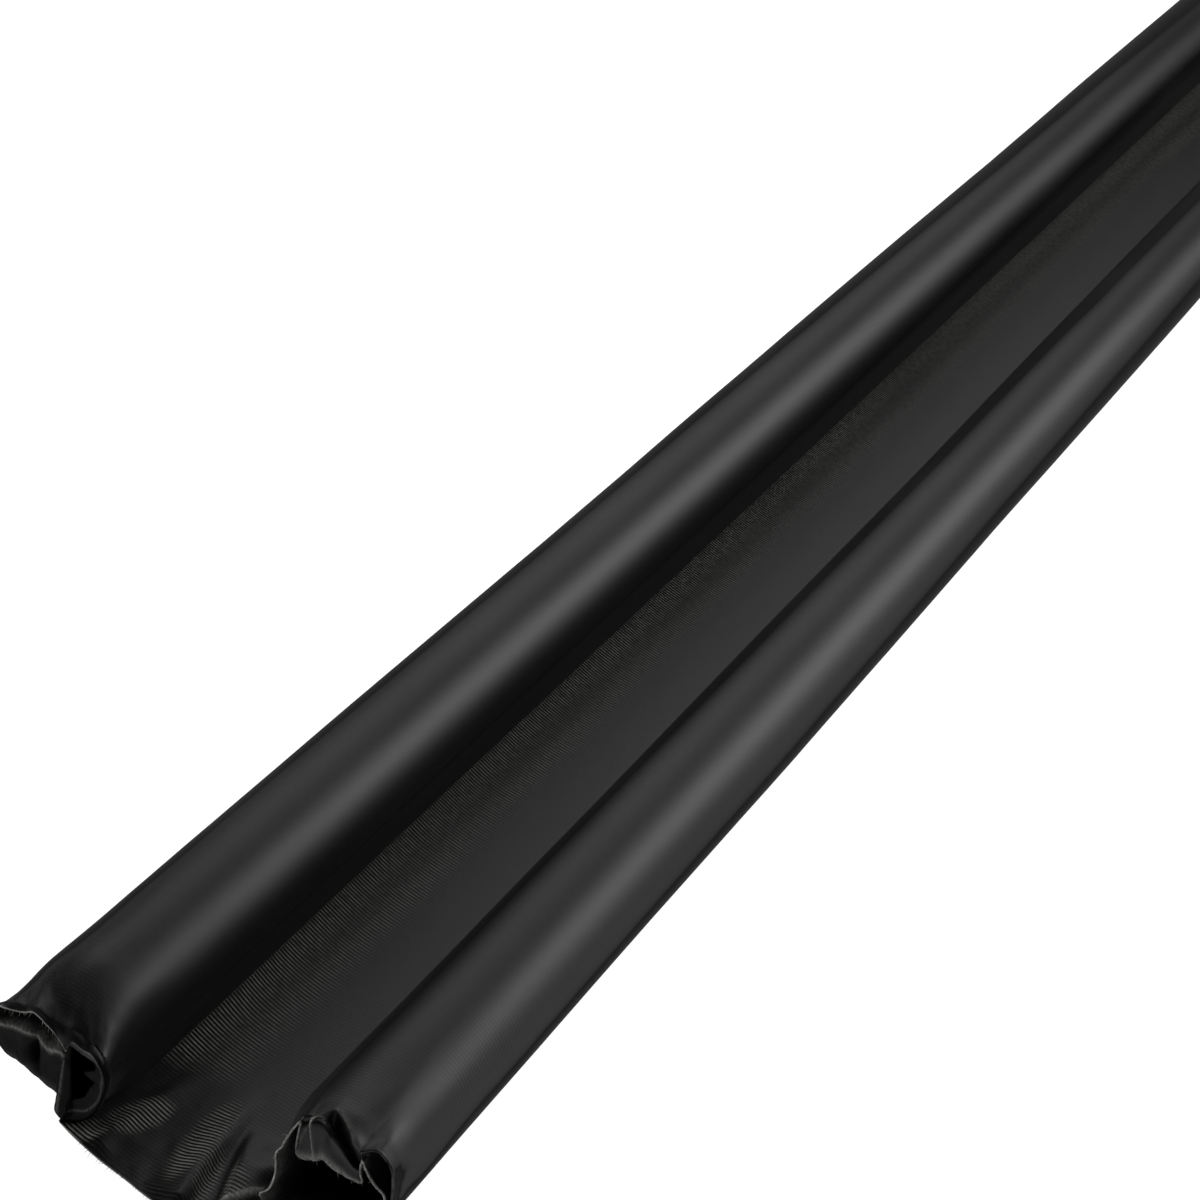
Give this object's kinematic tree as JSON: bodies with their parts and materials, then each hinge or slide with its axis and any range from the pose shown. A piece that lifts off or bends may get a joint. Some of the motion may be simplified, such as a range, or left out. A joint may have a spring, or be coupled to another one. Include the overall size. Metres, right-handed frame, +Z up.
{
  "type": "draught excluder",
  "caption": "Black cloth draught excluder: twin filled tubes joined by a flat web that slides under a door, with open crumpled cuffs at the ends.",
  "frame": {"origin": "on the floor under the web, midway between the tubes and midway along the sleeve", "axes": "+X along the sleeve away from its crumpled end, +Y across towards the left tube, +Z up"},
  "size_m": [0.9497, 0.1079, 0.0311],
  "materials": {
    "cloth": "smooth black polyester cloth with fine ribs running across the sleeve, a soft sheen and pale raw edges"
  },
  "bodies": {
    "root": {"sleeve": "cloth"}
  },
  "joints": []
}
